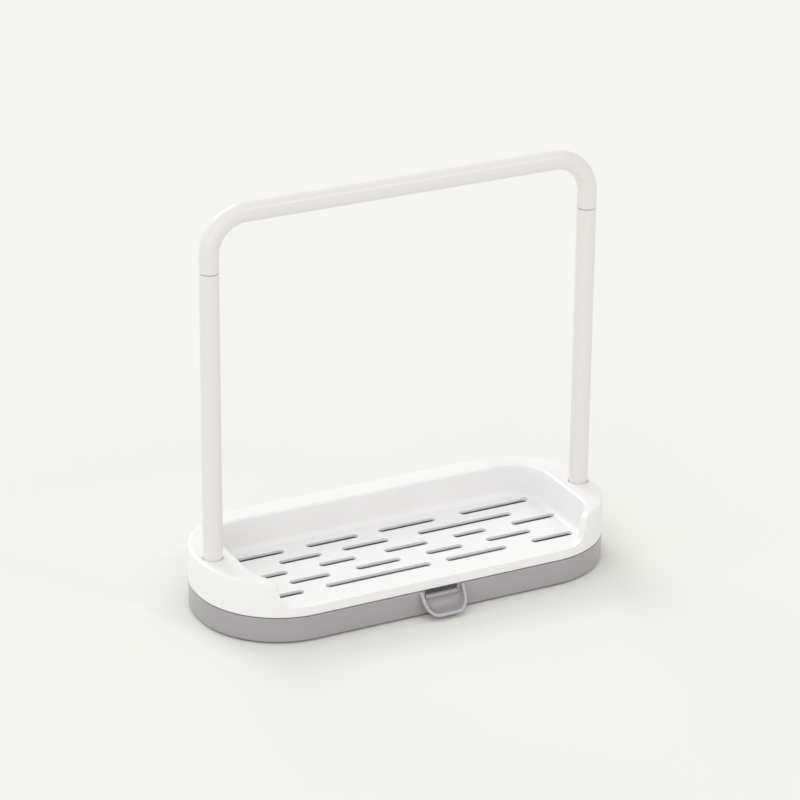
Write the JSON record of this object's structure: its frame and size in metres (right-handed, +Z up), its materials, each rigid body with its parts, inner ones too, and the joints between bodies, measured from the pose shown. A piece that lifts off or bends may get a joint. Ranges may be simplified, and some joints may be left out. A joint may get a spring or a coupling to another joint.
{
  "type": "towel rack with drain shelf",
  "caption": "Countertop rack: a slotted drain shelf on a drip tray with a pouring spout, and a tubular rail above it for a cloth.",
  "frame": {"origin": "centre of the footprint's bounding box, spout included, on the surface that the feet stand on", "axes": "+Z up, +X along the rack and its rail, -Y towards the open front with the spout"},
  "size_m": [0.25, 0.112, 0.2431],
  "materials": {
    "shelf_plastic": "satin moulded",
    "tray_plastic": "satin moulded",
    "coated_tube": "satin coating",
    "foot_rubber": "matte",
    "inner_plastic": "matte moulded",
    "screw_steel": "plain"
  },
  "bodies": {
    "tray": {"drip_tray": "tray_plastic", "front_left_foot": "foot_rubber", "front_right_foot": "foot_rubber", "rear_left_foot": "foot_rubber", "rear_right_foot": "foot_rubber"},
    "shelf": {"drain_shelf": "shelf_plastic", "left_post": "coated_tube", "right_post": "coated_tube", "top_rail": "coated_tube", "left_rail_joiner": "inner_plastic", "right_rail_joiner": "inner_plastic", "left_post_plug": "inner_plastic", "right_post_plug": "inner_plastic", "left_post_screw": "screw_steel", "right_post_screw": "screw_steel", "left_post_washer": "screw_steel", "right_post_washer": "screw_steel"}
  },
  "joints": [
    {"name": "shelf_lift", "type": "slide", "parent": "tray", "child": "shelf", "axis": [0, 0, 1], "range_m": [0, 0.06]}
  ]
}
